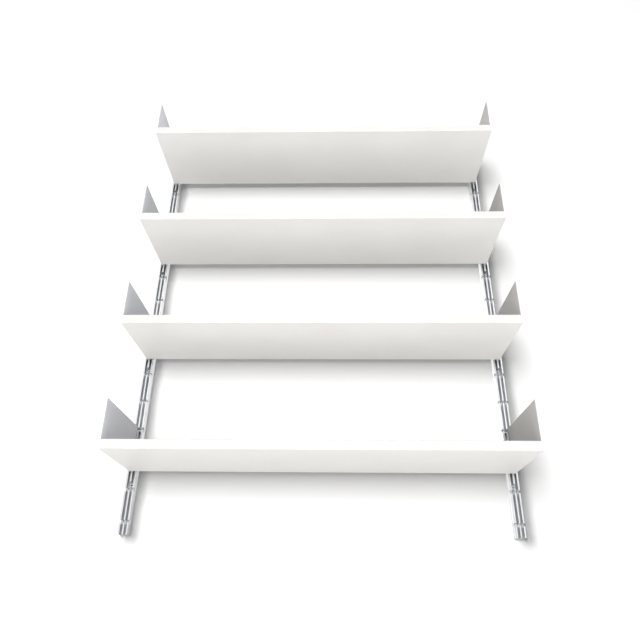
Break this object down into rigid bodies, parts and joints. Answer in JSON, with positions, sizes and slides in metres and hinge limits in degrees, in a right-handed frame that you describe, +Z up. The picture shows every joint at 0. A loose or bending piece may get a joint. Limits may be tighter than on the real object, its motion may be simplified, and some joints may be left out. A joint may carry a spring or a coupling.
{
  "type": "wall shelf",
  "caption": "Wall-hung shelving bay: notched aluminium tracks carry folded white steel shelves with upright end plates that hook over pins.",
  "frame": {"origin": "middle of the wall-screw pattern, on the wall face behind the tracks", "axes": "+X along the shelves to the right as seen from the room, +Y into the wall, +Z up along the tracks"},
  "size_m": [0.9194, 0.2725, 1.137],
  "materials": {
    "satin_aluminium": "satin anodised",
    "zinc_plated_steel": "bright zinc plate",
    "turned_aluminium": "turned",
    "white_powder_coat": "fine satin powder coat"
  },
  "bodies": {
    "tracks": {"left_track": "satin_aluminium", "right_track": "satin_aluminium", "left_wall_screws": "zinc_plated_steel", "right_wall_screws": "zinc_plated_steel", "shelf_1_left_pin": "turned_aluminium", "shelf_1_right_pin": "turned_aluminium", "shelf_2_left_pin": "turned_aluminium", "shelf_2_right_pin": "turned_aluminium", "shelf_3_left_pin": "turned_aluminium", "shelf_3_right_pin": "turned_aluminium", "shelf_4_left_pin": "turned_aluminium", "shelf_4_right_pin": "turned_aluminium"},
    "shelf_1": {"shelf_1_shell": "white_powder_coat", "shelf_1_rear_rail": "white_powder_coat", "shelf_1_stiffener": "white_powder_coat", "shelf_1_left_end": "white_powder_coat", "shelf_1_right_end": "white_powder_coat"},
    "shelf_2": {"shelf_2_shell": "white_powder_coat", "shelf_2_rear_rail": "white_powder_coat", "shelf_2_stiffener": "white_powder_coat", "shelf_2_left_end": "white_powder_coat", "shelf_2_right_end": "white_powder_coat"},
    "shelf_3": {"shelf_3_shell": "white_powder_coat", "shelf_3_rear_rail": "white_powder_coat", "shelf_3_stiffener": "white_powder_coat", "shelf_3_left_end": "white_powder_coat", "shelf_3_right_end": "white_powder_coat"},
    "shelf_4": {"shelf_4_shell": "white_powder_coat", "shelf_4_rear_rail": "white_powder_coat", "shelf_4_stiffener": "white_powder_coat", "shelf_4_left_end": "white_powder_coat", "shelf_4_right_end": "white_powder_coat"}
  },
  "joints": [
    {"name": "shelf_1_lift", "type": "slide", "parent": "tracks", "child": "shelf_1", "axis": [0, -0.7071, 0.7071], "range_m": [0, 0.08]},
    {"name": "shelf_2_lift", "type": "slide", "parent": "tracks", "child": "shelf_2", "axis": [0, -0.7071, 0.7071], "range_m": [0, 0.08]},
    {"name": "shelf_3_lift", "type": "slide", "parent": "tracks", "child": "shelf_3", "axis": [0, -0.7071, 0.7071], "range_m": [0, 0.08]},
    {"name": "shelf_4_lift", "type": "slide", "parent": "tracks", "child": "shelf_4", "axis": [0, -0.7071, 0.7071], "range_m": [0, 0.08]}
  ]
}
